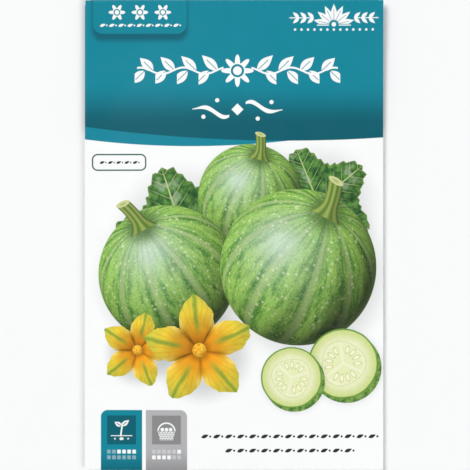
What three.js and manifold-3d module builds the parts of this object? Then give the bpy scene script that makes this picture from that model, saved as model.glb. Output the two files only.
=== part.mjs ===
// A filled paper seed packet, lying on its back: one printed sheet, folded and glued, with loose squash seeds inside.
// Units are millimetres. X runs across the front, +Y points to the packet's top edge, and +Z is up, out of the
// printed front. The origin is on the surface that the packet rests on, under the middle of its outline.
import * as THREE from "three";
import { mergeVertices } from "three/addons/utils/BufferGeometryUtils.js";
import Module from "manifold-3d";

// The printed front.
const WIDTH = 130;
const HEIGHT = 205;

// The sheet, and the stack of front, back and flap where they are pressed together along the edges.
const PAPER = 0.4;
const EDGE_STACK = 3 * PAPER;

// How the filled packet swells, and how its edges lift off the surface round the flat spot.
const BULGE = 4.6;
const FULLEST_Y = -16;
const BULGE_ACROSS = 2.4;
const BULGE_ALONG = 2.2;
const EDGE_LIFT = 1.8;
const FLAT_SHARE = 0.62;
const CORNER_CURL = 1.5;
const CURL_START = 2 * FLAT_SHARE;

// The glued flaps on the back.
const SIDE_FLAP = 12;
const TOP_FLAP = 20;
const BOTTOM_FLAP = 18;
const FLAP_INSET = 2.5;
const FLAP_SLANT = 11;
const SIDE_FLAP_SLANT = 6;
const FOLD_STEP = 0.15;
const GLUE_SINK = 0.2;
const STEP_DOWN_LENGTH = 2;

// The hollow for the seeds, and the unglued channel that is left beside each end of the top flap.
const RIM = 1.2;
const CHANNEL_WIDTH = 2;
const CHANNEL_LENGTH = 4;
const CHANNEL_SPARE = 0.05;

// The seeds: flat, pointed at one end, with a raised margin.
const SEED_COUNT = 36;
const SEED_LENGTH = 14;
const SEED_WIDTH = 8;
const SEED_THICKNESS = 2.4;
const SEED_TAPER = 0.35;
const SEED_CLEARANCE = 0.35;
const SEED_DRAW = 7;
const SEED_TRIES = 20000;
const SEED_SIDES = 10;
const FOOTPRINT_POINTS = 8;
// Distance from the seed's middle and height there, as shares of the half length and half thickness.
const SEED_PROFILE = [
  [0, 1],
  [0.6, 0.82],
  [0.86, 0.34],
  [0.94, 0.42],
  [1, 0.12],
];

// How many faces each slab of paper or air has across and along.
const BODY_GRID = [20, 32];
const HOLLOW_GRID = [18, 28];
const END_FLAP_GRID = [26, 3];
const SIDE_FLAP_GRID = [2, 32];
const CHANNEL_GRID = [1, 2];

const paperMaterial = new THREE.MeshStandardMaterial({
  name: "coated_paper",
  color: 0xf2f5f3,
  roughness: 0.42,
  metalness: 0,
});
const seedMaterial = new THREE.MeshStandardMaterial({
  name: "seed_coat",
  color: 0xe6d9b4,
  roughness: 0.6,
  metalness: 0,
});

// 0 up to the start, then a smooth rise that reaches 1 at the end.
const rise = (value, start, end) => (Math.max(0, value - start) / (end - start)) ** 2;

// The gap between the back of the packet and the surface: nothing on the flat spot, more towards the edges,
// and most at the top right corner, which curls up a little.
function lift(x, y) {
  const across = (2 * x) / WIDTH;
  const along = (2 * y) / HEIGHT;
  const level = (1 - rise(Math.abs(across), FLAT_SHARE, 1)) * (1 - rise(Math.abs(along), FLAT_SHARE, 1));
  return EDGE_LIFT * (1 - level) + CORNER_CURL * rise(across + along, CURL_START, 2);
}

// How far the front stands above the pressed edges.
function swell(x, y) {
  const reach = y > FULLEST_Y ? HEIGHT / 2 - FULLEST_Y : HEIGHT / 2 + FULLEST_Y;
  const along = 1 - Math.min(1, Math.abs(y - FULLEST_Y) / reach) ** BULGE_ALONG;
  const across = 1 - Math.min(1, Math.abs((2 * x) / WIDTH)) ** BULGE_ACROSS;
  return BULGE * along * across;
}

const backOutside = lift;
const backInside = (x, y) => lift(x, y) + PAPER;
const frontOutside = (x, y) => lift(x, y) + EDGE_STACK + swell(x, y);
const frontInside = (x, y) => frontOutside(x, y) - PAPER;

// A closed slab between two heights. The outline takes two shares from -1 to 1 and gives x and y.
function slab(outline, low, high, [columns, rows]) {
  const box = new THREE.BoxGeometry(2, 2, 2, columns, rows, 1);
  const points = box.getAttribute("position");
  for (let i = 0; i < points.count; i++) {
    const [x, y] = outline(points.getX(i), points.getY(i));
    points.setXYZ(i, x, y, points.getZ(i) > 0 ? high(x, y) : low(x, y));
  }
  return box;
}

const wasm = await Module();
wasm.setup();

// A closed geometry as a solid that can be joined and cut.
function solid(geometry) {
  const bare = geometry.clone();
  bare.deleteAttribute("normal");
  bare.deleteAttribute("uv");
  const merged = mergeVertices(bare, 1e-4);
  const corners = Array.from(merged.index.array);
  const triVerts = [];
  for (let i = 0; i < corners.length; i += 3) {
    const triangle = corners.slice(i, i + 3);
    // A lathe's first and last rings are points, where half of the triangles have no area.
    if (new Set(triangle).size === 3) triVerts.push(...triangle);
  }
  return new wasm.Manifold(
    new wasm.Mesh({
      numProp: 3,
      vertProperties: merged.getAttribute("position").array,
      triVerts: new Uint32Array(triVerts),
    }),
  );
}

// A solid back as a geometry with flat faces.
function geometryOf(made) {
  const { vertProperties, triVerts } = made.getMesh();
  const geometry = new THREE.BufferGeometry();
  geometry.setAttribute("position", new THREE.BufferAttribute(vertProperties, 3));
  geometry.setIndex(new THREE.BufferAttribute(triVerts, 1));
  const faceted = geometry.toNonIndexed();
  faceted.computeVertexNormals();
  return faceted;
}

// A flap across the top (end 1) or the bottom (end -1), folded from the front and glued over the back.
// Where it lies over the side flap it steps down by one more sheet.
function endFlap(end, depth) {
  const outline = (u, v) => {
    const out = (1 + v) / 2;
    const halfWidth = WIDTH / 2 - FLAP_INSET - FLAP_SLANT * (1 - out);
    return [end * u * halfWidth, end * (HEIGHT / 2 - FOLD_STEP - depth * (1 - out))];
  };
  const flapEdge = WIDTH / 2 - SIDE_FLAP;
  const halfStep = STEP_DOWN_LENGTH / 2;
  const overSideFlap = (x) => THREE.MathUtils.smoothstep(-x, flapEdge - halfStep, flapEdge + halfStep);
  const low = (x, y) => lift(x, y) - PAPER - PAPER * overSideFlap(x);
  const high = (x, y) => lift(x, y) + GLUE_SINK;
  return slab(outline, low, high, END_FLAP_GRID);
}

// The narrow flap along the left edge, folded from the front and glued over the back.
function sideFlap() {
  const outline = (u, v) => {
    const out = (1 - u) / 2;
    const halfHeight = HEIGHT / 2 - FLAP_INSET - SIDE_FLAP_SLANT * (1 - out);
    return [-(WIDTH / 2 - FOLD_STEP - SIDE_FLAP * (1 - out)), v * halfHeight];
  };
  const low = (x, y) => lift(x, y) - PAPER;
  const high = (x, y) => lift(x, y) + GLUE_SINK;
  return slab(outline, low, high, SIDE_FLAP_GRID);
}

// The channel beside one end of the top flap, from the hollow out through the top edge.
function cornerChannel(side) {
  const middleX = side * (WIDTH / 2 - RIM - CHANNEL_WIDTH / 2);
  const outline = (u, v) => [middleX + (u * CHANNEL_WIDTH) / 2, HEIGHT / 2 - RIM + (v * CHANNEL_LENGTH) / 2];
  const low = (x, y) => backInside(x, y) + CHANNEL_SPARE;
  const high = (x, y) => lift(x, y) + EDGE_STACK - PAPER - CHANNEL_SPARE;
  return slab(outline, low, high, CHANNEL_GRID);
}

function foldedSheet() {
  const whole = (u, v) => [(u * WIDTH) / 2, (v * HEIGHT) / 2];
  const insideRim = (u, v) => [u * (WIDTH / 2 - RIM), v * (HEIGHT / 2 - RIM)];
  const body = slab(whole, backOutside, frontOutside, BODY_GRID);
  const hollow = slab(insideRim, backInside, frontInside, HOLLOW_GRID);
  const glued = [sideFlap(), endFlap(1, TOP_FLAP), endFlap(-1, BOTTOM_FLAP)];
  const open = [hollow, cornerChannel(1), cornerChannel(-1)];
  let sheet = solid(body);
  for (const flap of glued) sheet = sheet.add(solid(flap));
  for (const space of open) sheet = sheet.subtract(solid(space));
  return geometryOf(sheet);
}

// One seed, lying flat with its pointed end along +X and its middle at the origin.
function seedShape() {
  const lower = SEED_PROFILE.map(([out, up]) => new THREE.Vector2(out, -up));
  const upper = SEED_PROFILE.map(([out, up]) => new THREE.Vector2(out, up)).reverse();
  const seed = new THREE.LatheGeometry([...lower, ...upper], SEED_SIDES);
  seed.rotateX(Math.PI / 2);
  const points = seed.getAttribute("position");
  for (let i = 0; i < points.count; i++) {
    const along = points.getX(i);
    const narrowing = 1 - SEED_TAPER * Math.max(0, along) ** 2;
    points.setXYZ(
      i,
      (along * SEED_LENGTH) / 2,
      (points.getY(i) * narrowing * SEED_WIDTH) / 2,
      (points.getZ(i) * SEED_THICKNESS) / 2,
    );
  }
  return geometryOf(solid(seed));
}

// Three circles along a seed, which together cover its outline.
function seedCircles({ x, y, turn }) {
  const step = (SEED_LENGTH - SEED_WIDTH) / 2;
  return [-step, 0, step].map((along) => [x + along * Math.cos(turn), y + along * Math.sin(turn)]);
}

// The lowest and highest free height over a seed's footprint.
function roomFor(place) {
  let low = -Infinity;
  let high = Infinity;
  for (const [x, y] of seedCircles(place)) {
    for (let i = 0; i < FOOTPRINT_POINTS; i++) {
      const round = (i * 2 * Math.PI) / FOOTPRINT_POINTS;
      const px = x + (SEED_WIDTH / 2) * Math.cos(round);
      const py = y + (SEED_WIDTH / 2) * Math.sin(round);
      low = Math.max(low, backInside(px, py));
      high = Math.min(high, frontInside(px, py));
    }
  }
  return { low, high };
}

// Seeds scattered by a seeded draw: each lies flat in the hollow and clear of those that are there already.
function scatterSeeds() {
  const random = THREE.MathUtils.seededRandom;
  random(SEED_DRAW);
  const apart = SEED_WIDTH + SEED_CLEARANCE;
  const placed = [];
  for (let tries = 0; tries < SEED_TRIES && placed.length < SEED_COUNT; tries++) {
    const place = {
      x: (random() - 0.5) * WIDTH,
      y: (random() - 0.5) * HEIGHT,
      turn: random() * 2 * Math.PI,
    };
    const { low, high } = roomFor(place);
    if (high - low < SEED_THICKNESS + 2 * SEED_CLEARANCE) continue;
    const mine = seedCircles(place);
    const touches = placed.some((other) =>
      seedCircles(other).some(([ox, oy]) => mine.some(([x, y]) => Math.hypot(x - ox, y - oy) < apart)),
    );
    if (touches) continue;
    placed.push({ ...place, z: low + SEED_CLEARANCE + SEED_THICKNESS / 2 });
  }
  return placed;
}

const packet = new THREE.Group();

const sheetMesh = new THREE.Mesh(foldedSheet(), paperMaterial);
sheetMesh.name = "folded_sheet";
packet.add(sheetMesh);

const seedGeometry = seedShape();
const seeds = new THREE.Group();
scatterSeeds().forEach(({ x, y, z, turn }, index) => {
  const seed = new THREE.Mesh(seedGeometry, seedMaterial);
  seed.name = `seed_${String(index + 1).padStart(2, "0")}`;
  seed.position.set(x, y, z);
  seed.rotation.z = turn;
  seeds.add(seed);
});
packet.add(seeds);

export default packet;
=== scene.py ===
"""A filled paper seed packet: one printed sheet, folded and glued, with loose squash seeds inside.

Lengths are in metres on the objects. They are in millimetres on the print, whose UV map holds places on the
flat sheet.
"""

import math

import bpy
import numpy as np
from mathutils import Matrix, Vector


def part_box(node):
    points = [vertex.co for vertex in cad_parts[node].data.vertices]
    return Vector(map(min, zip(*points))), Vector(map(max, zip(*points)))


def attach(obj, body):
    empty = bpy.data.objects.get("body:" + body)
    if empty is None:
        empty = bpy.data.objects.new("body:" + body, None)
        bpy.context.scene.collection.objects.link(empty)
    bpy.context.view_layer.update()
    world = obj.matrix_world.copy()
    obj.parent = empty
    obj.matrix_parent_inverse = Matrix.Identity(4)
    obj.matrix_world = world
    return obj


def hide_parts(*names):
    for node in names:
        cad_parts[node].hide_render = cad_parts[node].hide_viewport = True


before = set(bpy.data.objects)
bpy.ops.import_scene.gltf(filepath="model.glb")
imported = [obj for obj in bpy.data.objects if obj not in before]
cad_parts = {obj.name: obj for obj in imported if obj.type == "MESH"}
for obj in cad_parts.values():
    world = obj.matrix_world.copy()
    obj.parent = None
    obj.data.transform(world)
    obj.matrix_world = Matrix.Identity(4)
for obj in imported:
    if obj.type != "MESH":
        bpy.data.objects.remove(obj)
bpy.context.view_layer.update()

bl_info = {
    "name": "Seed Packet",
    "version": (1, 0, 0),
    "blender": (4, 5, 0),
    "location": "View3D > Sidebar > Seed Packet",
    "description": "A printed paper seed packet with loose squash seeds inside",
    "category": "Add Mesh",
}

MM = 0.001
SHEET_LOW, SHEET_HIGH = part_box("folded_sheet")
WIDTH = (SHEET_HIGH.x - SHEET_LOW.x) / MM
HEIGHT = (SHEET_HIGH.y - SHEET_LOW.y) / MM
SEED_NODES = sorted(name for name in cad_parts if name.startswith("seed_"))

# The sheet's folds and flaps, in millimetres. The flaps are as large as on the CAD sheet.
FOLD_RADIUS = 0.3
FOLD_TURN = math.pi * FOLD_RADIUS
SIDE_FLAP = 12.0
TOP_FLAP = 20.0
BOTTOM_FLAP = 18.0
FLAP_INSET = 2.5
END_FLAP_SLANT = 11.0
SIDE_FLAP_SLANT = 6.0
BACK_SETBACK = 0.5
STEP_DOWN = 2.0
STEP_GAP = 1.0

# How fine the meshes are.
FRONT_COLUMNS = 80
BACK_COLUMNS = 56
BODY_ROWS = 128
SIDE_FLAP_COLUMNS = 8
END_FLAP_ROWS = 14
FOLD_STEPS = 8
SEED_SEGMENTS = 28
SEED_RINGS = 18

# The blank: the print's fold lines, in millimetres from the front's middle, and the name of its UV map.
SIDE_FOLD = WIDTH / 2 - FOLD_RADIUS + FOLD_TURN / 2
END_FOLD = HEIGHT / 2 - FOLD_RADIUS + FOLD_TURN / 2
BLANK_MAP = "blank"


def ink(red, green, blue):
    """A printed colour from its usual 0 to 255 values, as Blender's linear colour."""
    linear = []
    for value in (red, green, blue):
        share = value / 255
        linear.append(share / 12.92 if share <= 0.04045 else ((share + 0.055) / 1.055) ** 2.4)
    return (*linear, 1.0)


# Numbers and colours in node trees


class Term:
    """A number in a node tree. Arithmetic on it adds Math nodes to the tree."""

    def __init__(self, tree, socket):
        self.tree = tree
        self.socket = socket

    def __add__(self, other):
        return calculate("ADD", self, other)

    def __radd__(self, other):
        return calculate("ADD", other, self)

    def __sub__(self, other):
        return calculate("SUBTRACT", self, other)

    def __rsub__(self, other):
        return calculate("SUBTRACT", other, self)

    def __mul__(self, other):
        return calculate("MULTIPLY", self, other)

    def __rmul__(self, other):
        return calculate("MULTIPLY", other, self)

    def __truediv__(self, other):
        return calculate("DIVIDE", self, other)

    def __rtruediv__(self, other):
        return calculate("DIVIDE", other, self)

    def __pow__(self, other):
        return calculate("POWER", self, other)

    def __neg__(self):
        return calculate("MULTIPLY", self, -1.0)

    def __abs__(self):
        return calculate("ABSOLUTE", self)


def feed(tree, value, socket):
    """Puts a number, a colour, a Term or another node's output into a socket."""
    if isinstance(value, Term):
        tree.links.new(value.socket, socket)
    elif isinstance(value, bpy.types.NodeSocket):
        tree.links.new(value, socket)
    else:
        socket.default_value = value


def add_node(tree, kind, feeds=(), **settings):
    """Adds a node with its settings, and feeds its inputs, each given by name or number."""
    node = tree.nodes.new(kind)
    for name, value in settings.items():
        setattr(node, name, value)
    for key, value in dict(feeds).items():
        feed(tree, value, node.inputs[key])
    return node


def calculate(operation, *values):
    tree = next(value.tree for value in values if isinstance(value, Term))
    return Term(tree, add_node(tree, "ShaderNodeMath", enumerate(values), operation=operation).outputs[0])


def least(first, second):
    return calculate("MINIMUM", first, second)


def most(first, second):
    return calculate("MAXIMUM", first, second)


def root(value):
    return calculate("SQRT", value)


def sine(value):
    return calculate("SINE", value)


def cosine(value):
    return calculate("COSINE", value)


def angle(up, along):
    return calculate("ARCTAN2", up, along)


def floor(value):
    return calculate("FLOOR", value)


def wrapped(value, step):
    """How far the value is from the middle of its cell. Cells one step wide repeat, the first round 0."""
    return calculate("WRAP", value, step / 2, -step / 2)


def length(first, second):
    return root(first * first + second * second)


def ramp(value, start, end):
    """A smooth rise from 0 at the start to 1 at the end, flat on both sides."""
    feeds = enumerate((value, start, end))
    node = add_node(value.tree, "ShaderNodeMapRange", feeds, interpolation_type="SMOOTHSTEP")
    return Term(value.tree, node.outputs[0])


def bump_at(value, middle, spread):
    """A smooth hill, 1 at the middle and 0 at the spread away from it."""
    return ramp(abs(value - middle), spread, 0.0)


def vector(x, y, z=0.0):
    tree = next(value.tree for value in (x, y, z) if isinstance(value, Term))
    return add_node(tree, "ShaderNodeCombineXYZ", enumerate((x, y, z))).outputs[0]


def parts_of(tree, place):
    """The x, y and z of a place."""
    return [Term(tree, part) for part in add_node(tree, "ShaderNodeSeparateXYZ", {0: place}).outputs]


def noise(tree, place, scale, detail=2.0, roughness=0.5):
    feeds = {"Vector": place, "Scale": scale, "Detail": detail, "Roughness": roughness}
    return Term(tree, add_node(tree, "ShaderNodeTexNoise", feeds).outputs[0])


def dots(tree, place, scale):
    """The distance to the nearest of many scattered points."""
    node = add_node(tree, "ShaderNodeTexVoronoi", {"Vector": place, "Scale": scale})
    return Term(tree, node.outputs["Distance"])


def mixed(tree, share, first, second):
    """A colour that goes from the first to the second as the share goes from 0 to 1."""
    return add_node(tree, "ShaderNodeMix", {0: share, 6: first, 7: second}, data_type="RGBA").outputs[2]


def brightened(tree, colour, factor):
    return add_node(tree, "ShaderNodeVectorMath", {0: colour, "Scale": factor}, operation="SCALE").outputs[0]


# Inks and motifs of the print

# How far an ink's edge blurs, in millimetres, and where the pictures' light comes from.
EDGE_BLUR = 0.14
LIGHT = Vector((-0.46, 0.58, 0.67)).normalized()
HALF_WAY = (LIGHT + Vector((0, 0, 1))).normalized()


class Pen:
    """Lays one ink after another in a node tree, each over what is there already."""

    def __init__(self, tree, under, blur, inks):
        self.tree = tree
        self.colour = under
        self.blur = blur
        self.inks = inks
        self.light_x = LIGHT.x
        self.light_y = LIGHT.y

    def inside(self, distance):
        """A mask that is 1 where a signed distance to an outline is below 0."""
        return ramp(-distance, -self.blur, self.blur)

    def lay(self, colour, mask):
        self.colour = mixed(self.tree, mask, self.colour, colour)

    def fill(self, distance, colour=None):
        """Fills an outline, given as its signed distance, in a colour or else in the paper's white."""
        self.lay(self.inks.paper if colour is None else colour, self.inside(distance))

    def cast_shadow(self, x, y, reach, offset, strength):
        """Darkens what is under a motif with a soft round shadow, away from the light."""
        distance = length(x + self.light_x * offset, y + self.light_y * offset)
        self.lay(ink(40, 62, 44), ramp(distance, reach, reach * 0.55) * strength)


def motif_group(name, draw, inks):
    """A node group that draws one motif, with its own place, size and turn, over the picture under it."""
    tree = bpy.data.node_groups.new(name, "ShaderNodeTree")
    tree.interface.new_socket("Under", in_out="INPUT", socket_type="NodeSocketColor")
    for label in ("Across", "Along", "Middle Across", "Middle Along", "Size", "Turn"):
        tree.interface.new_socket(label, in_out="INPUT", socket_type="NodeSocketFloat")
    tree.interface.new_socket("Picture", in_out="OUTPUT", socket_type="NodeSocketColor")
    given = tree.nodes.new("NodeGroupInput").outputs

    # The place takes in a trace of the colour under the motif, too little to see. So Cycles works out one
    # motif after another, and never holds the values of all of them at once, for which it has no room.
    trace = Term(tree, given["Under"]) * 1e-9
    across = Term(tree, given["Across"]) - Term(tree, given["Middle Across"]) + trace
    along = Term(tree, given["Along"]) - Term(tree, given["Middle Along"]) + trace
    size = Term(tree, given["Size"])
    turn_x = cosine(Term(tree, given["Turn"]))
    turn_y = sine(Term(tree, given["Turn"]))
    x = (across * turn_x + along * turn_y) / size
    y = (along * turn_x - across * turn_y) / size
    pen = Pen(tree, given["Under"], EDGE_BLUR / size, inks)
    pen.light_x = LIGHT.x * turn_x + LIGHT.y * turn_y
    pen.light_y = LIGHT.y * turn_x - LIGHT.x * turn_y
    draw(pen, x, y)
    tree.links.new(pen.colour, tree.nodes.new("NodeGroupOutput").inputs["Picture"])
    return tree


def place_motif(pen, group, across, along, middle, size, degrees=0.0):
    feeds = {
        "Under": pen.colour,
        "Across": across,
        "Along": along,
        "Middle Across": middle[0],
        "Middle Along": middle[1],
        "Size": size,
        "Turn": math.radians(degrees),
    }
    node = add_node(pen.tree, "ShaderNodeGroup", feeds, node_tree=group, label=group.name)
    pen.colour = node.outputs["Picture"]


def draw_globe(pen, x, y):
    """A round ribbed squash, of radius 1, with its stem towards +x."""
    tree = pen.tree
    lean_x, lean_z = math.cos(0.66), math.sin(0.66)
    pen.cast_shadow(x, y, 1.24, 0.15, 0.34)

    depth = root(most(1 - x * x - y * y, 0.0))
    pole = x * lean_x + depth * lean_z
    side = depth * lean_x - x * lean_z
    spread = length(side, y) + 0.01
    round_turn = angle(y, side) * 10
    rib = cosine(round_turn) * 0.5 + 0.5
    slope = y * lean_z * pen.light_x + side * pen.light_y - y * lean_x * LIGHT.z
    lit = x * pen.light_x + y * pen.light_y + depth * LIGHT.z + sine(round_turn) * slope * 0.2

    streaks = noise(tree, vector(side / spread * 3.4, y / spread * 3.4, pole * 1.1), 3.2, 4.0, 0.62)
    skin = mixed(tree, ramp(streaks + rib * 0.16, 0.36, 0.74), ink(54, 124, 42), ink(150, 198, 90))
    mottle = noise(tree, vector(x, y, depth), 34.0, 3.0, 0.7)
    skin = mixed(tree, ramp(mottle, 0.5, 0.7) * 0.55, skin, ink(202, 220, 118))
    skin = mixed(tree, ramp(mottle, 0.46, 0.3) * 0.6, skin, ink(36, 98, 40))
    fleck_size = noise(tree, vector(x, y, depth), 5.0) * 0.5
    flecks = ramp(dots(tree, vector(x, y, depth), 11.0), fleck_size, fleck_size - 0.1)
    skin = mixed(tree, flecks * 0.6, skin, ink(216, 228, 172))
    groove = ramp(rib + streaks * 0.3, 0.3, 0.12)
    skin = mixed(tree, groove * 0.5, skin, ink(196, 214, 146))
    skin = brightened(tree, skin, 0.05 + 1.02 * ramp(lit, -0.56, 0.92))
    bounce = ramp(lit, 0.1, -0.5) * ramp(depth, 0.5, 0.0)
    skin = mixed(tree, bounce * 0.25, skin, ink(120, 150, 96))
    gleam = most(x * pen.light_x * 0.55 + y * pen.light_y * 0.55 + depth * HALF_WAY.z, 0.0)
    shine = (gleam**7.0 * 0.34 + gleam**40.0 * 0.28) * (0.55 + streaks * 0.9)
    skin = mixed(tree, shine, skin, ink(222, 238, 232))
    pen.fill(length(x, y) - 1, skin)

    share = (x - lean_x + 0.07) / 0.5
    middle = y - share * share * 0.1
    flare = most(1 - most(share, 0.0) * 2.4, 0.0)
    half = flare * flare * 0.12 + 0.1
    across = least(abs(middle) / half, 1.0)
    star = length(x - lean_x, y * 0.9)
    pen.lay(ink(58, 92, 40), ramp(star, 0.34, 0.1) * ramp(depth, 0.0, 0.3) * 0.75)
    ridges = cosine(middle / half * 9.0) * 0.5 + 0.5
    stem = mixed(tree, ridges * 0.65, ink(88, 120, 50), ink(172, 188, 98))
    stem_lit = middle / half * pen.light_y * 0.6 + root(1 - across * across) * 0.7
    stem = brightened(tree, stem, 0.45 + 0.7 * ramp(stem_lit, -0.2, 0.95))
    shaft = least(pen.inside(abs(middle) - half), pen.inside(abs(share - 0.48) * 0.5 - 0.24))
    pen.lay(stem, shaft)
    cut = length((share - 0.96) * 0.5 / 0.42, middle / 1.05)
    pen.fill(cut - half, ink(204, 212, 148))
    pen.lay(ink(158, 172, 96), ramp(cut, half * 0.62, half * 0.2) * 0.7)


def draw_leaf(pen, x, y):
    """A lobed, toothed leaf of about radius 1, its tip towards +x and its stalk's joint at the middle."""
    tree = pen.tree
    lobe = math.tau / 5
    pen.cast_shadow(x, y, 1.05, 0.06, 0.2)
    around = angle(y, x)
    out = length(x, y)
    ragged = noise(tree, vector(x, y), 3.0, 3.0) - 0.5
    teeth = abs(wrapped(around * 6.4 + ragged * 1.2, 1.0))
    outline = cosine(around * 5) * 0.13 + 0.78 + ragged * 0.16 - teeth * 0.075
    outline = outline - ramp(abs(around), 2.62, 3.1) * 0.5

    sector = wrapped(around, lobe)
    along = out * cosine(sector)
    aside = abs(out * sine(sector))
    branch_step = 0.16
    branch = wrapped(along - aside * 0.85 + ragged * 0.03, branch_step)
    branch_vein = ramp(abs(branch), 0.011, 0.003) * ramp(aside, 0.33, 0.1)
    main_vein = ramp(aside, 0.022 - along * 0.014, 0.006) * ramp(along, 0.95, 0.7)
    puffed = cosine(branch * (math.tau / branch_step)) * 0.5

    mottle = noise(tree, vector(x, y), 9.0, 4.0, 0.6)
    blade = mixed(tree, ramp(mottle + puffed * -0.1, 0.36, 0.68), ink(34, 88, 42), ink(98, 150, 68))
    silver = ramp(noise(tree, vector(x, y, 4.0), 5.5, 3.0), 0.52, 0.64) * ramp(aside, 0.24, 0.03)
    blade = mixed(tree, silver * 0.5, blade, ink(186, 208, 172))
    facing = cosine(around) * pen.light_x + sine(around) * pen.light_y
    fold_light = sine(sector * 2.5) * (cosine(around) * pen.light_y - sine(around) * pen.light_x)
    blade = brightened(tree, blade, 0.86 - puffed * 0.13 + facing * 0.14 + fold_light * 0.22)
    blade = mixed(tree, most(branch_vein * 0.55, main_vein * 0.9), blade, ink(188, 208, 138))
    blade = mixed(tree, ramp(out, outline - 0.05, outline) * 0.4, blade, ink(142, 172, 84))
    pen.fill(out - outline, blade)


def draw_blossom(pen, x, y):
    """An open five-pointed squash flower of radius 1."""
    tree = pen.tree
    petal = math.tau / 5
    pen.cast_shadow(x, y, 1.0, 0.1, 0.32)
    around = angle(y, x)
    out = length(x, y)
    ruffle = noise(tree, vector(x, y), 4.0, 3.0) - 0.5
    sector = wrapped(around + ruffle * 0.12, petal)
    aside = abs(sector) / (petal / 2)
    outline = 0.47 + 0.53 * (1 - aside) ** 0.72 + ruffle * 0.09
    outline = outline + cosine(around * 31) * 0.008

    veins = ramp(abs(wrapped(sector * 7.2 + ruffle * 0.3, 1.0)), 0.16, 0.02)
    colour = mixed(tree, ramp(out, 0.16, 0.78), ink(236, 150, 22), ink(240, 212, 62))
    colour = mixed(tree, ramp(out, 0.62, 1.0) * 0.6, colour, ink(176, 196, 76))
    colour = mixed(tree, ramp(aside, 0.5, 0.98) * ramp(out, 0.42, 0.6) * 0.6, colour, ink(248, 234, 140))
    colour = mixed(tree, veins * ramp(out, 0.12, 0.3) * 0.34, colour, ink(222, 128, 22))
    midrib = ramp(aside * out, 0.15 - out * 0.07, 0.012)
    colour = mixed(tree, midrib * ramp(out, 0.2, 0.5) * 0.85, colour, ink(132, 166, 58))
    facing = cosine(around) * pen.light_x + sine(around) * pen.light_y
    lip = (cosine(around) * pen.light_y - sine(around) * pen.light_x) * sector
    shade = 0.9 - facing * ramp(out, 0.75, 0.2) * 0.3 + facing * ramp(out, 0.4, 0.9) * 0.12 + lip * 0.45
    valley = ramp(aside, 0.62, 1.0) * ramp(out, 0.56, 0.3)
    colour = brightened(tree, colour, shade - valley * 0.44 + ruffle * 0.5)
    colour = mixed(tree, ramp(out, 0.27, 0.1) * 0.78, colour, ink(140, 92, 12))
    pen.fill(out - outline, colour)

    knob = out / 0.125
    knob_lit = (x * pen.light_x + y * pen.light_y) / 0.125 + root(most(1 - knob * knob, 0.0)) * 0.7
    grains = dots(tree, vector(x, y), 46.0)
    centre = mixed(tree, ramp(grains, 0.3, 0.7), ink(255, 214, 74), ink(232, 150, 24))
    centre = brightened(tree, centre, 0.62 + 0.45 * ramp(knob_lit, -0.4, 0.9))
    pen.fill(out - 0.125, centre)


def draw_cut_round(pen, x, y):
    """A thick round slice of squash of radius 1, its cut face a little turned towards the page's top."""
    tree = pen.tree
    pen.cast_shadow(x, y, 1.22, 0.2, 0.34)
    lower_x = x + pen.light_x * 0.2
    lower_y = y + pen.light_y * 0.2
    rim_band = noise(tree, vector(x, y), 7.0, 3.0)
    wall = mixed(tree, ramp(rim_band, 0.35, 0.65), ink(72, 116, 48), ink(132, 170, 84))
    pen.fill(length(lower_x, lower_y) - 0.99, wall)

    around = angle(y, x)
    uneven = noise(tree, vector(x, y), 2.2) - 0.5
    out = length(x, y) + uneven * 0.05
    fibres = noise(tree, vector(cosine(around) * 7, sine(around) * 7, out * 2), 2.4, 3.0)
    flesh = mixed(tree, ramp(out, 0.95, 0.55), ink(206, 220, 140), ink(240, 242, 204))
    flesh = brightened(tree, flesh, 0.93 + fibres * 0.14)
    ring = ramp(abs(out - 0.62 - cosine(around * 3) * 0.035), 0.03, 0.0)
    flesh = mixed(tree, ring * 0.5, flesh, ink(190, 208, 122))
    third = math.tau / 3
    spoke = abs(wrapped(around + 0.4, third)) * out
    core = ramp(out, 0.6, 0.5)
    flesh = mixed(tree, core * 0.4, flesh, ink(222, 232, 160))
    flesh = mixed(tree, core * ramp(spoke, 0.05, 0.0) * 0.8, flesh, ink(246, 247, 222))
    step = math.tau / 15
    seed_side = wrapped(around + 0.4, step) * out / 0.05
    seed_out = (out - 0.41) / 0.115
    seed_edge = length(seed_side, seed_out)
    clear_of_spoke = ramp(spoke, 0.04, 0.07)
    flesh = mixed(tree, ramp(seed_edge, 1.35, 1.0) * clear_of_spoke * 0.6, flesh, ink(184, 200, 110))
    flesh = mixed(tree, ramp(seed_edge, 0.95, 0.65) * clear_of_spoke, flesh, ink(250, 247, 218))
    skin = ramp(out, 0.925, 0.955)
    flesh = mixed(tree, skin, flesh, ink(104, 150, 62))
    pen.fill(out - 0.985, flesh)


def flower_mark(pen, x, y, radius, petals, colour):
    """A plain flower in one ink, with an open ring round its middle."""
    out = length(x, y)
    outline = radius * (0.74 + 0.26 * cosine(angle(y, x) * petals))
    ring = pen.inside(abs(out - radius * 0.34) - radius * 0.07)
    pen.lay(colour, pen.inside(out - outline) * (1 - ring))


def leaf_mask(pen, along, aside, long, half, vein=0.0):
    """A leaf with a drawn-out tip, from 0 to its length along. A vein leaves a line open down its middle."""
    share = along / long
    width = share * most(1 - share, 0.0) ** 1.35 * 4.9 * half
    mask = pen.inside(abs(aside) - width) * ramp(share, 0.0, 0.05) * ramp(share, 1.0, 0.96)
    if vein:
        mask = mask * (1 - pen.inside(most(abs(aside) - vein, share - 0.68)))
    return mask


def turned(x, y, degrees):
    """A point's place along and beside a line that leaves the middle at an angle."""
    turn_x, turn_y = math.cos(math.radians(degrees)), math.sin(math.radians(degrees))
    return x * turn_x + y * turn_y, y * turn_x - x * turn_y


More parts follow.
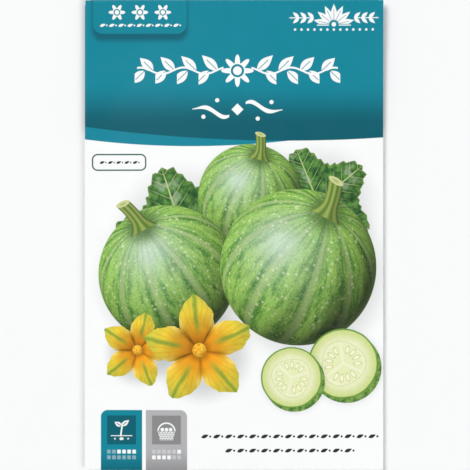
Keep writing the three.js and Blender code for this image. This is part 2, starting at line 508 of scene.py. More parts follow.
def box_distance(x, y, half_width, half_height, rounding):
    """The signed distance to a box with rounded corners, round the middle."""
    over_x = most(abs(x) - (half_width - rounding), 0.0)
    over_y = most(abs(y) - (half_height - rounding), 0.0)
    return length(over_x, over_y) - rounding


def draw_vine(pen, x, y):
    """A long white vine of paired leaves that runs out both ways from a flower. 1 is half its length."""
    out = abs(x)
    step = 0.2
    stem = abs(y - sine(out * (math.pi / step)) * 0.03) - 0.009
    pen.fill(most(stem, abs(out - 0.53) - 0.4))
    cell = floor((out - 0.16) / step)
    place = out - 0.16 - cell * step
    for facing, start in ((1, 0.02), (-1, 0.1)):
        along, aside = turned(place - start, y * facing, 44)
        leaf = leaf_mask(pen, along, aside, 0.23 - out * 0.06, 0.045, 0.0035)
        pen.lay(pen.inks.paper, leaf * ramp(abs(out - 0.56), 0.395, 0.39))
    flower_mark(pen, x, y, 0.15, 8, pen.inks.paper)


def draw_divider(pen, x, y):
    """A flourish of two swelling strokes on either side of a diamond. 1 is half its length."""
    out = abs(x)
    pen.fill(out + abs(y) - 0.13)
    taper = ramp(abs(out - 0.5), 0.5, 0.1) * 0.042
    wave = sine(x * 5.4) * ramp(out, 1.1, 0.2) * 0.17
    pen.fill(most(abs(y - wave) - taper - 0.008, abs(out - 0.58) - 0.4))
    for place, height in ((0.44, 0.2), (0.74, -0.16)):
        side = calculate("SIGN", x)
        pen.fill(length(out - place, y * side + height) - 0.045)


def draw_palmette(pen, x, y):
    """A fan of leaves over a bar, between two sprigs, with a row of dots below. 1 is the fan's height."""
    out = abs(x)
    place = out - 1.0 - floor((out - 1.0) / 0.36) * 0.36
    sprig = ramp(abs(out - 1.54), 0.56, 0.55)
    for facing in (1, -1):
        along, aside = turned(place, (y - 0.34) * facing, 42)
        pen.lay(pen.inks.paper, leaf_mask(pen, along, aside, 0.42, 0.085) * sprig)
    pen.fill(most(abs(y - 0.34) - 0.022, abs(out - 1.6) - 0.6))
    row = length(wrapped(x, 0.32), y + 0.24)
    pen.fill(most(row - 0.06, out - 2.08))
    spacing = math.pi / 7
    around = angle(y, x)
    out = length(x, y)
    sector = wrapped(around - math.pi / 2, spacing)
    leaf = leaf_mask(pen, out - 0.2, out * sine(sector), 0.84, 0.15, 0.012)
    pen.lay(pen.inks.paper, leaf * ramp(y, 0.02, 0.06))
    pen.fill(length(x, y - 0.02) - 0.11)
    pen.fill(box_distance(abs(x) - 0.54, y + 0.02, 0.3, 0.025, 0.02))


def draw_sprout(pen, x, y):
    """A seedling that grows from a seed in the soil. 1 is half the picture's side."""
    pen.fill(most(abs(x - sine(y * 2.5) * 0.06) - 0.055, abs(y - 0.02) - 0.48))
    for facing, degrees, long in ((1, 38, 0.72), (-1, 30, 0.6)):
        along, aside = turned(x * facing, y - 0.28, degrees)
        pen.lay(pen.inks.paper, leaf_mask(pen, along, aside, long, 0.17, 0.03))
    pen.lay(pen.inks.paper, pen.inside(abs(y + 0.42) - 0.03) * pen.inside(abs(x) - 0.78))
    pen.fill(length(x / 0.15, (y + 0.64) / 0.1) * 0.1 - 0.1)
    pen.fill(length(abs(x) - 0.48, y + 0.64) - 0.06)


def draw_basket(pen, x, y):
    """A basket with three round fruits and a handle. 1 is half the picture's side."""
    handle = abs(length(x, y + 0.12) - 0.62) - 0.05
    pen.fill(most(handle, -0.08 - y))
    for middle in (-0.3, 0.0, 0.3):
        pen.fill(length(x - middle, y - 0.03) - 0.13)
    body = most(abs(x) - 0.62 - (y + 0.1) * 0.22, abs(y + 0.43) - 0.31)
    weave = abs(wrapped(x + floor(y / 0.15) * 0.1, 0.2)) - 0.075
    lines = most(weave, abs(wrapped(y, 0.15)) - 0.055)
    pen.lay(pen.inks.paper, pen.inside(body) * pen.inside(lines))


def months_drawing(first, last):
    """Twelve small boxes in two rows, with the season's months filled. 1 is half the width."""

    def draw_months(pen, x, y):
        cell = box_distance(wrapped(x - 1 / 6, 1 / 3), abs(y) - 0.19, 0.115, 0.125, 0.03)
        limits = most(abs(x) - 1.0, abs(y) - 0.4)
        month = floor((x + 1) * 3) + calculate("LESS_THAN", y, 0.0) * 6 + 1
        season = pen.inside(abs(month - (first + last) / 2) - (last - first) / 2 - 0.5)
        pen.lay(pen.inks.paper, pen.inside(most(cell, limits)) * (0.28 + season * 0.72))

    return draw_months


def border_drawing(colour):
    """A row of small leaves and dots in one ink. 1 is the distance from one leaf to the next."""

    def draw_border(pen, x, y):
        place = wrapped(x, 1.0)
        along, aside = turned(place + 0.36, y + 0.13, 22)
        pen.lay(colour, leaf_mask(pen, along, aside, 0.7, 0.15))
        pen.fill(length(place - 0.4, y + 0.02) - 0.09, colour)

    return draw_border


def growth_drawing(height, pairs, fruits):
    """A plant on a line of soil, with pairs of leaves up its stem. 1 is half the picture's width."""

    def draw_plant(pen, x, y):
        ground = -0.7
        out = abs(x)
        pen.fill(most(abs(y - ground) - 0.025, out - 0.8), pen.inks.band)
        stem = most(abs(x) - 0.04, abs(y - ground - height / 2) - height / 2)
        pen.fill(stem, pen.inks.band)
        for pair in range(pairs):
            share = (pair + 1) / pairs
            along, aside = turned(out, y - ground - height * share, 16 + 26 * share)
            pen.lay(pen.inks.band, leaf_mask(pen, along, aside, 0.66 - 0.2 * share, 0.15, 0.018))
        for fruit in range(fruits):
            aside = fruit * 0.44 - 0.22
            pen.fill(length(x - aside, (y - ground - 0.19) * 1.1) - 0.19, ink(116, 160, 62))
        if not pairs:
            pen.fill(length(x * 1.7, y - ground + 0.16) - 0.1, ink(206, 150, 60))

    return draw_plant


# Effects that more than one material uses


def effect_group(name, sizes, outputs, build):
    """A node group with a place on the blank and named sizes going in, filled by a function."""
    inputs = ("Across", "Along", *sizes)
    tree = bpy.data.node_groups.new(name, "ShaderNodeTree")
    for label in inputs:
        tree.interface.new_socket(label, in_out="INPUT", socket_type="NodeSocketFloat")
    for label in outputs:
        tree.interface.new_socket(label, in_out="OUTPUT", socket_type="NodeSocketFloat")
    given = tree.nodes.new("NodeGroupInput").outputs
    made = build(tree, {label: Term(tree, given[label]) for label in inputs})
    result = tree.nodes.new("NodeGroupOutput")
    for label, term in zip(outputs, made):
        feed(tree, term, result.inputs[label])
    return tree


def use_effect(tree, group, **values):
    """Places an effect. Its outputs come back by name as Terms."""
    feeds = {label.replace("_", " ").title(): value for label, value in values.items()}
    node = add_node(tree, "ShaderNodeGroup", feeds, node_tree=group, label=group.name)
    return {socket.name: Term(tree, socket) for socket in node.outputs}


def build_fibres(tree, given):
    """Paper fibres: a fine long grain with slow clouds in it."""
    size = given["Fibre Size"]
    fine = noise(tree, vector(given["Across"] / size, given["Along"] / size * 0.45), 1.0, 4.0, 0.6)
    clouds = noise(tree, vector(given["Across"], given["Along"]), 0.09, 2.0)
    return fine, clouds


def build_fold_wear(tree, given):
    """Rubbed folds: a ragged mask along the side folds and the end folds."""
    across, along = given["Across"], given["Along"]
    fold = least(abs(abs(across) - SIDE_FOLD), abs(abs(along) - END_FOLD))
    rubbed = noise(tree, vector(across, along), 0.8, 4.0, 0.65)
    reach = given["Width"] * (rubbed * 1.8 - 0.35)
    return (ramp(fold, reach + 0.12, reach - 0.12),)


# Materials

# The depth of each surface's fine relief, in metres.
PRINT_RELIEF = 0.000012
INSIDE_RELIEF = 0.00003
SEED_RELIEF = 0.00004


def start_material(name):
    material = bpy.data.materials.new(name)
    material.use_nodes = True
    tree = material.node_tree
    tree.nodes.clear()
    shader = tree.nodes.new("ShaderNodeBsdfPrincipled")
    result = tree.nodes.new("ShaderNodeOutputMaterial")
    tree.links.new(shader.outputs[0], result.inputs["Surface"])
    return material, tree, shader.inputs


def blank_place(tree):
    """Where a point of the sheet lies on the flat blank, in millimetres from the front's middle."""
    return parts_of(tree, add_node(tree, "ShaderNodeUVMap", uv_map=BLANK_MAP).outputs[0])[:2]


def add_relief(tree, shader, height, depth):
    """Turns a height from 0 to 1 into a bump of that depth in metres."""
    node = add_node(tree, "ShaderNodeBump", {"Strength": 1.0, "Distance": depth, "Height": height})
    tree.links.new(node.outputs[0], shader["Normal"])


def coat_print(tree, shader, pen, across, along, effects):
    """Finishes a print as satin coated paper: rubbed folds, fibres under the coat and a soft gloss."""
    fibres = use_effect(tree, effects["fibres"], across=across, along=along, fibre_size=0.32)
    wear = use_effect(tree, effects["wear"], across=across, along=along, width=0.16)["Wear"]
    pen.lay(ink(244, 243, 238), wear * 0.6)
    tone = 0.985 + (fibres["Clouds"] - 0.5) * 0.03 + (fibres["Fine"] - 0.5) * 0.016
    feed(tree, brightened(tree, pen.colour, tone), shader["Base Color"])
    feed(tree, 0.36 + fibres["Clouds"] * 0.1 + wear * 0.3, shader["Roughness"])
    shader["Specular IOR Level"].default_value = 0.24
    shader["Coat Weight"].default_value = 0.05
    shader["Coat Roughness"].default_value = 0.22
    add_relief(tree, shader, fibres["Fine"] + wear * 0.5, PRINT_RELIEF)


# Where the band's fade starts and ends along the packet, in millimetres from its middle.
BAND_FADE = (67.0, 47.5)
# The middle of the back that shows beside the side flap, across the blank.
BACK_MIDDLE = 124.0
# Each picture's motif, middle, radius and turn in degrees, from the lowest to the topmost.
FRONT_PICTURES = (
    ("leaf", (-22.0, 0.0), 34.0, 108.0),
    ("leaf", (36.5, 14.0), 28.0, 40.0),
    ("globe", (7.0, 17.0), 22.5, 76.0),
    ("globe", (-29.0, -17.0), 30.0, 118.0),
    ("globe", (28.0, -14.0), 34.0, 62.0),
    ("blossom", (-42.0, -50.0), 17.0, 148.0),
    ("blossom", (-15.0, -50.0), 24.5, 96.0),
    ("cut_round", (47.5, -56.0), 15.5, 0.0),
    ("cut_round", (25.0, -62.0), 13.5, 40.0),
)


def strip_motif(pen, group, across, along, middle, size, half_length):
    """Places a motif that repeats, and keeps only the stretch round its middle."""
    before = pen.colour
    place_motif(pen, group, across, along, middle, size)
    stretch = pen.inside(most(abs(across - middle[0]) - half_length, abs(along - middle[1]) - size / 2))
    pen.colour = mixed(pen.tree, stretch, before, pen.colour)


def print_header(pen, across, along, groups, inks):
    """The teal band with its curved lower edge, ornaments and hanging tab."""
    tree = pen.tree
    band_edge = 41.0 + ((across - 22) / 40) ** 2.0 * 1.3
    light_edge = 38.6 + ((across + 18) / 40) ** 2.0 * 2.2
    shade = ramp(along, *BAND_FADE)
    pen.fill(light_edge - along, inks.pale_band)
    teal = mixed(tree, shade, inks.band, inks.deep_band)
    pen.fill(band_edge - along, teal)
    tab_x, tab_y, tab_half = -41.0, 102.5, 20.3
    below = box_distance(across - tab_x, along - tab_y + 2.0, tab_half, 15.5, 4.0)
    pen.lay(ink(6, 82, 98), ramp(below, 2.2, -1.2) * 0.72)
    pen.fill(box_distance(across - tab_x, along - tab_y, tab_half, 14.8, 4.0), inks.band)
    for offset in (-10.0, 0.0, 10.0):
        flower_mark(pen, across - tab_x - offset, along - 97.0, 3.6, 6, inks.paper)
    strip_motif(pen, groups["white_border"], across, along, (tab_x, 91.4), 4.0, 18.0)
    place_motif(pen, groups["palmette"], across, along, (43.5, 91.6), 8.8)
    place_motif(pen, groups["vine"], across, along, (1.5, 71.5), 47.0)
    place_motif(pen, groups["divider"], across, along, (1.5, 54.6), 20.0)


def print_marks(pen, across, along, groups, inks):
    """The empty name box, the two calendar tabs and the border at the foot of the front."""
    name_box = box_distance(across + 50.0, along - 31.6, 11.6, 3.4, 2.2)
    pen.fill(abs(name_box) - 0.3, ink(50, 84, 88))
    strip_motif(pen, groups["dark_border"], across, along, (-50.0, 31.6), 3.6, 9.0)
    tabs = (
        ("sprout", "sowing", -49.0, 1, inks.band, inks.deep_band),
        ("basket", "harvest", -29.4, -1, inks.grey, inks.deep_grey),
    )
    for picture, months, middle, side, light_ink, dark_ink in tabs:
        rounded_x = (across - middle) * side
        past_corner = length(most(-6.0 - rounded_x, 0.0), most(along + 79.2, 0.0)) - 3.0
        edges = most(abs(rounded_x) - 9.0, along + 76.2)
        tab = pen.inside(most(edges, past_corner))
        foot = ramp(along, -93.0, -104.0)
        pen.lay(mixed(pen.tree, foot * 0.8, light_ink, dark_ink), tab)
        pen.fill(box_distance(across - middle, along + 84.9, 6.3, 6.3, 0.1), dark_ink)
        place_motif(pen, groups[picture], across, along, (middle, -84.9), 6.0)
        place_motif(pen, groups[months], across, along, (middle, -95.6), 6.6)
    strip_motif(pen, groups["dark_border"], across, along, (24.0, -87.6), 5.2, 39.0)
    strip_motif(pen, groups["dark_border"], across, along, (24.0, -93.8), 5.2, 28.6)


def printed_front(groups, effects, inks):
    material, tree, shader = start_material("printed_front")
    across, along = blank_place(tree)
    pen = Pen(tree, inks.paper, EDGE_BLUR, inks)
    print_header(pen, across, along, groups, inks)
    for name, middle, size, degrees in FRONT_PICTURES:
        place_motif(pen, groups[name], across, along, middle, size, degrees)
    print_marks(pen, across, along, groups, inks)
    coat_print(tree, shader, pen, across, along, effects)
    return material


def printed_back(groups, effects, inks):
    material, tree, shader = start_material("printed_back")
    across, along = blank_place(tree)
    pen = Pen(tree, inks.paper, EDGE_BLUR, inks)
    middle = BACK_MIDDLE
    shade = ramp(along, *BAND_FADE)
    teal = mixed(tree, shade, inks.band, inks.deep_band)
    band_edge = 42.5 + ramp(across, SIDE_FOLD - 4, 80.0) * 22
    panel = pen.inside(-across) * pen.inside(along - END_FOLD)
    pen.lay(teal, pen.inside(band_edge - along) * panel)
    pen.lay(teal, pen.inside(most(abs(across) - SIDE_FOLD - 5, END_FOLD - along)) * ramp(along, 109.0, 108.7))
    pen.lay(teal, pen.inside(most(across + SIDE_FOLD, 45.2 - along)) * ramp(across, -70.4, -70.1))
    for left, right, colour in ((-58.0, -40.0, inks.band), (-38.4, -20.4, inks.grey)):
        tab = most(abs(across - (left + right) / 2) - (right - left) / 2, along + END_FOLD)
        pen.lay(colour, pen.inside(tab) * ramp(along, -107.0, -106.7))

    place_motif(pen, groups["vine"], across, along, (middle, 74.6), 30.0)
    outline = box_distance(across - middle, along - 33.0, 52.0, 18.0, 4.0)
    pen.fill(abs(outline) - 0.3, inks.band)
    stages = ("stage_seed", "stage_shoot", "stage_plant", "stage_fruit")
    for index, name in enumerate(stages):
        place_motif(pen, groups[name], across, along, (middle + (index - 1.5) * 25.5, 31.5), 14.5)
    for height, first, last, colour in ((5.0, 3, 6, inks.band), (-5.0, 6, 10, inks.harvest)):
        step = 8.6
        month = floor((across - middle) / step + 6) + 1
        cell = box_distance(wrapped(across - middle - step / 2, step), along - height, 3.7, 3.7, 0.8)
        row = pen.inside(most(cell, abs(across - middle) - step * 6))
        season = pen.inside(abs(month - (first + last) / 2) - (last - first) / 2 - 0.5)
        pen.lay(mixed(tree, season, ink(214, 224, 222), colour), row)
    for height, half_length in ((-16.0, 49.4), (-22.6, 49.4), (-29.2, 33.8)):
        strip_motif(pen, groups["dark_border"], across, along, (middle, height), 5.2, half_length)
    name_box = box_distance(across - middle - 30, along + 58.0, 20.0, 10.0, 2.0)
    pen.fill(abs(name_box) - 0.24, ink(58, 92, 94))
    place_motif(pen, groups["globe"], across, along, (middle - 34, -58.0), 16.0, 100.0)
    coat_print(tree, shader, pen, across, along, effects)
    return material


def plain_inside(effects):
    """The uncoated inside of the sheet and its cut edges."""
    material, tree, shader = start_material("plain_inside")
    across, along = blank_place(tree)
    fibres = use_effect(tree, effects["fibres"], across=across, along=along, fibre_size=0.5)
    colour = mixed(tree, fibres["Fine"], ink(236, 233, 224), ink(250, 249, 244))
    feed(tree, brightened(tree, colour, 0.97 + fibres["Clouds"] * 0.04), shader["Base Color"])
    feed(tree, 0.78 + fibres["Fine"] * 0.16, shader["Roughness"])
    add_relief(tree, shader, fibres["Fine"], INSIDE_RELIEF)
    return material


def dry_seed_coat():
    """Dry cream seed coat: a silky face, a darker line inside the raised margin and a tan tip."""
    material, tree, shader = start_material("dry_seed_coat")
    from_middle, towards_tip = (
        Term(tree, add_node(tree, "ShaderNodeAttribute", attribute_name=name).outputs["Fac"])
        for name in ("from_middle", "towards_tip")
    )
    place = tree.nodes.new("ShaderNodeTexCoord").outputs["Object"]
    silk = noise(tree, place, 900.0, 4.0, 0.6)
    patches = noise(tree, place, 160.0, 2.0)
    colour = mixed(tree, patches, ink(226, 208, 166), ink(243, 234, 206))
    colour = mixed(tree, bump_at(from_middle, 0.88, 0.09) * 0.55, colour, ink(196, 170, 122))
    colour = mixed(tree, ramp(towards_tip, 0.72, 1.0) * 0.5, colour, ink(186, 152, 104))
    feed(tree, brightened(tree, colour, 0.94 + silk * 0.1), shader["Base Color"])
    feed(tree, 0.44 + silk * 0.2, shader["Roughness"])
    add_relief(tree, shader, silk, SEED_RELIEF)
    return material


def stage_material(name, colour, roughness):
    material, _, shader = start_material(name)
    shader["Base Color"].default_value = colour
    shader["Roughness"].default_value = roughness
    return material


# The sheet's mesh


def spread(start, end, count):
    return [start + (end - start) * step / count for step in range(count + 1)]


def fold_steps(edge):
    """The steps of a fold's half turn: its share, the length of paper so far, its place and its level."""
    steps = []
    for share in spread(0.0, 1.0, FOLD_STEPS)[1:-1]:
        place = edge + FOLD_RADIUS * math.sin(math.pi * share)
        steps.append((share, edge + FOLD_TURN * share, place, (1 + math.cos(math.pi * share)) / 2))
    return steps


def sheet_columns():
    """Each column across the blank: its zone, place on the blank, place across the packet, level and layer.
    The level is 1 on the front and 0 on the back. The layer counts the sheets between it and the back."""
    edge = WIDTH / 2 - FOLD_RADIUS
    folded = edge + FOLD_TURN
    columns = []
    for out in spread(SIDE_FLAP, 0.0, SIDE_FLAP_COLUMNS):
        columns.append(("side_flap", -folded - out, -edge + out, 0.0, 1.0))
    for share, u, place, level in reversed(fold_steps(edge)):
        columns.append(("side_flap", -u, -place, level, share))
    flap_edge = WIDTH / 2 - FLAP_INSET
    for place in (-edge, -(edge + flap_edge) / 2):
        columns.append(("front_edge", place, place, 1.0, 0.0))
    for place in spread(-flap_edge, flap_edge, FRONT_COLUMNS):
        columns.append(("front", place, place, 1.0, 0.0))
    for place in ((edge + flap_edge) / 2, edge):
        columns.append(("front_edge", place, place, 1.0, 0.0))
    for _, u, place, level in fold_steps(edge):
        columns.append(("back_fold", u, place, level, 0.0))
    for place in spread(edge, -edge + BACK_SETBACK, BACK_COLUMNS):
        columns.append(("back", folded + edge - place, place, 0.0, 0.0))
    return columns


def sheet_rows():
    """Each row along the blank, as the columns are: the end flaps fold from the front over the back."""
    edge = HEIGHT / 2 - FOLD_RADIUS
    flap_edge = HEIGHT / 2 - FLAP_INSET
    upper = [("body", place, place, 1.0, 0.0, 0.0) for place in ((edge + flap_edge) / 2, edge)]
    for share, v, place, level in fold_steps(edge):
        upper.append(("end_flap", v, place, level, share, 0.0))
    ends = {}
    for side, depth in ((1, TOP_FLAP), (-1, BOTTOM_FLAP)):
        flap = []
        for out in spread(0.0, 1.0, END_FLAP_ROWS):
            flap.append(("end_flap", edge + FOLD_TURN + depth * out, edge - depth * out, 0.0, 1.0, out))
        rows = upper + flap
        ends[side] = [(zone, v * side, y * side, *rest) for zone, v, y, *rest in rows]
    middle = [("side", v, v, 1.0, 0.0, 0.0) for v in spread(-flap_edge, flap_edge, BODY_ROWS)]
    return ends[-1][::-1] + middle + ends[1]


def smooth_share(value, start, end):
    share = min(max((value - start) / (end - start), 0.0), 1.0)
    return share * share * (3 - 2 * share)


def folded_point(column, row):
    """Where a point of the blank lies once the packet is folded flat, or None where the blank is cut away."""
    zone, u, x, level, layer = column
    row_zone, v, y, row_level, row_layer, out = row
    if row_zone == "end_flap":
        if zone != "front":
            return None
        squeeze = 1 - END_FLAP_SLANT / (WIDTH / 2 - FLAP_INSET) * out
        x = x * squeeze
        edge = WIDTH / 2 - SIDE_FLAP
        over_side_flap = smooth_share(-x, edge - STEP_GAP - STEP_DOWN, edge - STEP_GAP)
        layer = row_layer * (1 + over_side_flap)
        return x, v, x, y, row_level, layer
    if zone == "side_flap":
        if row_zone != "side":
            return None
        out = max(0.0, (-u - SIDE_FOLD) / SIDE_FLAP)
        squeeze = 1 - SIDE_FLAP_SLANT / (HEIGHT / 2 - FLAP_INSET) * out
        return u, v * squeeze, x, y * squeeze, level, layer
    if zone == "back":
        tuck = BACK_SETBACK * smooth_share(WIDTH / 2 - x, 0.0, FLAP_INSET)
        return u, v, x, y * (1 - tuck / (HEIGHT / 2)), level, layer
    return u, v, x, y, level, layer


def flat_sheet_mesh():
    """The folded sheet before it is filled: flat, with each point's place on the blank, level and layer."""
    columns, rows = sheet_columns(), sheet_rows()
    index, points = {}, []
    for c, column in enumerate(columns):
        for r, row in enumerate(rows):
            point = folded_point(column, row)
            if point:
                index[c, r] = len(points)
                points.append(point)
    faces, front = [], []
    for c in range(len(columns) - 1):
        for r in range(len(rows) - 1):
            corners = [(c, r), (c + 1, r), (c + 1, r + 1), (c, r + 1)]
            if all(corner in index for corner in corners):
                faces.append([index[corner] for corner in corners])
                across, along = points[faces[-1][0]][:2]
                front.append(abs(across) < SIDE_FOLD and abs(along) < END_FOLD)
    values = np.array(points)
    mesh = bpy.data.meshes.new("printed_sheet")
    places = np.column_stack([values[:, 2], values[:, 3], np.zeros(len(values))]) * MM
    mesh.from_pydata(places.tolist(), [], faces)
    for name, data in (("level", values[:, 4]), ("layer", values[:, 5])):
        mesh.attributes.new(name, "FLOAT", "POINT").data.foreach_set("value", data.astype(np.float32))
    mesh.attributes.new("on_front", "BOOLEAN", "FACE").data.foreach_set("value", front)
    corner_vertices = np.zeros(len(mesh.loops), np.int32)
    mesh.loops.foreach_get("vertex_index", corner_vertices)
    layer = mesh.uv_layers.new(name=BLANK_MAP)
    layer.uv.foreach_set("vector", values[corner_vertices][:, :2].astype(np.float32).ravel())
    return mesh


# Geometry node trees


def named_attribute(tree, name, kind="FLOAT"):
    node = add_node(tree, "GeometryNodeInputNamedAttribute", {"Name": name}, data_type=kind)
    return node.outputs["Attribute"]


def geometry_tree(name, inputs):
    """A geometry node tree with named inputs. Comes back with its inputs as sockets by name."""
    tree = bpy.data.node_groups.new(name, "GeometryNodeTree")
    tree.interface.new_socket("Geometry", in_out="OUTPUT", socket_type="NodeSocketGeometry")
    tree.interface.new_socket("Geometry", in_out="INPUT", socket_type="NodeSocketGeometry")
    for label, kind in inputs.items():
        tree.interface.new_socket(label, in_out="INPUT", socket_type=kind)
    return tree, tree.nodes.new("NodeGroupInput").outputs


def position(tree):
    return parts_of(tree, add_node(tree, "GeometryNodeInputPosition").outputs[0])


def rise(value, start, end):
    """0 up to the start, then a smooth rise that reaches 1 at the end."""
    share = most(value - start, 0.0) / (end - start)
    return share * share


def finish_tree(tree, geometry, coverings):
    """Realizes the geometry, gives it its materials and ends the tree."""
    last = add_node(tree, "GeometryNodeRealizeInstances", {0: geometry}).outputs[0]
    for selection, material in coverings:
        feeds = {"Geometry": last, "Selection": selection, "Material": material}
        last = add_node(tree, "GeometryNodeSetMaterial", feeds).outputs[0]
    add_node(tree, "NodeGroupOutput", {0: last})


# The inputs of the filling that are properties of the packet, by their labels.
FILL_SIZES = (
    "Edge Stack", "Swell", "Fullest Along", "Edge Lift", "Flat Share", "Corner Curl", "Layer Step", "Crumple"
)


def fill_tree():
    """Fills the flat folded sheet: the front swells, the edges lift and the paper buckles a little."""
    numbers = ("Width", "Height", *FILL_SIZES, "Random Seed")
    inputs = dict.fromkeys(numbers, "NodeSocketFloat")
    inputs.update(dict.fromkeys(("Front Material", "Back Material"), "NodeSocketMaterial"))
    tree, given = geometry_tree("fill_packet", inputs)
    size = {label: Term(tree, given[label]) for label in numbers}
    x, y, _ = position(tree)
    level = Term(tree, named_attribute(tree, "level"))
    layer = Term(tree, named_attribute(tree, "layer"))
    across = x * 2 / size["Width"]
    along = y * 2 / size["Height"]

    flat = size["Flat Share"]
    level_spot = (1 - rise(abs(across), flat, 1.0)) * (1 - rise(abs(along), flat, 1.0))
    lift = size["Edge Lift"] * (1 - level_spot)
    lift = lift + size["Corner Curl"] * rise(across + along, flat * 2, 2.0)

    fullest = size["Fullest Along"]
    upward = calculate("GREATER_THAN", y, fullest) * 2 - 1
    reach = size["Height"] / 2 - upward * fullest
    swell_along = 1 - least(abs(y - fullest) / reach, 1.0) ** 2.2
    swell_across = 1 - least(abs(across), 1.0) ** 2.4
    swell = size["Swell"] * swell_along * swell_across

    place = vector(x, y, size["Random Seed"])
    broad = noise(tree, place, 34.0, 1.5) - 0.5
    fine = noise(tree, place, 95.0, 2.0) - 0.5
    middle = (1 - abs(across) ** 6.0) * (1 - abs(along) ** 8.0)
    side_band = bump_at(abs(across), 0.84, 0.17)
    buckles = sine(y * 210 + broad * 9) * side_band * (1 - abs(along) ** 4.0)
    crumple = size["Crumple"] * ((broad * 1.5 + fine * 0.45) * middle + buckles * 0.55)

    height = lift - layer * size["Layer Step"] + level * (size["Edge Stack"] + swell + crumple)
    feeds = {"Geometry": given["Geometry"], "Offset": vector(0.0, 0.0, height)}
    move = add_node(tree, "GeometryNodeSetPosition", feeds)
    on_front = named_attribute(tree, "on_front", "BOOLEAN")
    not_front = add_node(tree, "FunctionNodeBooleanMath", {0: on_front}, operation="NOT")
    coverings = ((on_front, given["Front Material"]), (not_front.outputs[0], given["Back Material"]))
    finish_tree(tree, move.outputs[0], coverings)
    return tree


SEED_INPUTS = {
    "Seed Length": "NodeSocketFloat",
    "Seed Width": "NodeSocketFloat",
    "Seed Thickness": "NodeSocketFloat",
    "Size Change": "NodeSocketFloat",
    "Random Seed": "NodeSocketInt",
    "Material": "NodeSocketMaterial",
}


def store(tree, geometry, name, value):
    feeds = {"Name": name, "Geometry": geometry, "Value": value}
    return add_node(tree, "GeometryNodeStoreNamedAttribute", feeds).outputs[0]


def seed_tree():
    """Puts a flat seed with a raised margin and a pointed tip on each point, turned as the point says."""
    tree, given = geometry_tree("loose_seeds", SEED_INPUTS)
    ball = add_node(tree, "GeometryNodeMeshUVSphere", {"Segments": SEED_SEGMENTS, "Rings": SEED_RINGS})
    x, y, z = position(tree)
    rho = least(length(x, y), 1.0)
    dome = root(most(1 - (rho / 0.9) ** 2.0, 0.0)) ** 0.8 * 0.9
    margin = bump_at(rho, 0.95, 0.075) * 0.3
    up = (dome + margin + 0.1) * calculate("SIGN", z)
    narrow = 1 - most(x, 0.0) ** 2.0 * 0.35
    stored = store(tree, ball.outputs["Mesh"], "from_middle", rho)
    stored = store(tree, stored, "towards_tip", x)
    shaped = vector(
        x * Term(tree, given["Seed Length"]) / 2,
        y * narrow * Term(tree, given["Seed Width"]) / 2,
        up * Term(tree, given["Seed Thickness"]) / 2,
    )
    move = add_node(tree, "GeometryNodeSetPosition", {"Geometry": stored, "Position": shaped})
    smooth = add_node(tree, "GeometryNodeSetShadeSmooth", {"Geometry": move.outputs[0]})

    feeds = {2: 1 - Term(tree, given["Size Change"]), 3: 1.0, "Seed": given["Random Seed"]}
    change = add_node(tree, "FunctionNodeRandomValue", feeds, data_type="FLOAT")
    feeds = {
        "Points": given["Geometry"],
        "Instance": smooth.outputs[0],
        "Rotation": vector(0.0, 0.0, Term(tree, named_attribute(tree, "turn"))),
        "Scale": change.outputs[1],
    }
    scatter = add_node(tree, "GeometryNodeInstanceOnPoints", feeds)
    finish_tree(tree, scatter.outputs[0], ((True, given["Material"]),))
    return tree


def add_tree(piece, tree, values):
    """Adds a geometry node tree as a modifier, with each input set by its socket's identifier."""
    modifier = piece.modifiers.new(tree.name, "NODES")
    modifier.node_group = tree
    for item in tree.interface.items_tree:
        if item.in_out == "INPUT" and item.name in values:
            modifier[item.identifier] = values[item.name]


def made_plain(piece):
    """Turns what the piece's modifiers make into its own mesh, and removes them and any empty slot."""
    evaluated = piece.evaluated_get(bpy.context.evaluated_depsgraph_get())
    mesh = bpy.data.meshes.new_from_object(evaluated)
    piece.modifiers.clear()
    for slot in reversed(range(len(mesh.materials))):
        if mesh.materials[slot] is None:
            mesh.materials.pop(index=slot)
    piece.data = mesh
    mesh.name = piece.name


def linked(name, mesh):
    piece = bpy.data.objects.new(name, mesh)
    bpy.context.scene.collection.objects.link(piece)
    return piece


# Sizes and colours that a user would change


def distance(name, description, default):
    return bpy.props.FloatProperty(
        name=name, description=description, default=default, subtype="DISTANCE", unit="LENGTH", precision=5
    )


class SeedPacketSizes(bpy.types.PropertyGroup):
    """Sizes of the packet and of how it is filled."""

    paper_thickness: distance("Paper Thickness", "Thickness of the sheet", 0.13 * MM)
    edge_stack: distance("Edge Stack", "Height of the pressed edges, from back to front", 0.6 * MM)
    swell: distance("Swell", "How far the seeds push the front up", 5.1 * MM)
    fullest_along: distance("Fullest Along", "Where the packet is fullest, from its middle", -16.0 * MM)
    edge_lift: distance("Edge Lift", "How far the edges stand off the surface", 1.8 * MM)
    corner_curl: distance("Corner Curl", "How far the top right corner curls up", 1.5 * MM)
    layer_step: distance("Layer Step", "Distance from one glued layer to the next", 0.17 * MM)
    crumple: distance("Crumple", "Depth of the paper's soft buckles", 0.28 * MM)
    flat_share: bpy.props.FloatProperty(
        name="Flat Share", description="Share of the back that lies flat", default=0.62, subtype="FACTOR"
    )
    seed_change: bpy.props.FloatProperty(
        name="Seed Change", description="How much smaller a seed may be", default=0.06, subtype="FACTOR"
    )
    random_seed: bpy.props.IntProperty(
        name="Random Seed", description="Draw of the buckles and of the seeds' sizes", default=4
    )


def ink_colour(name, description, default):
    return bpy.props.FloatVectorProperty(
        name=name, description=description, default=default, size=4, min=0.0, max=1.0, subtype="COLOR"
    )


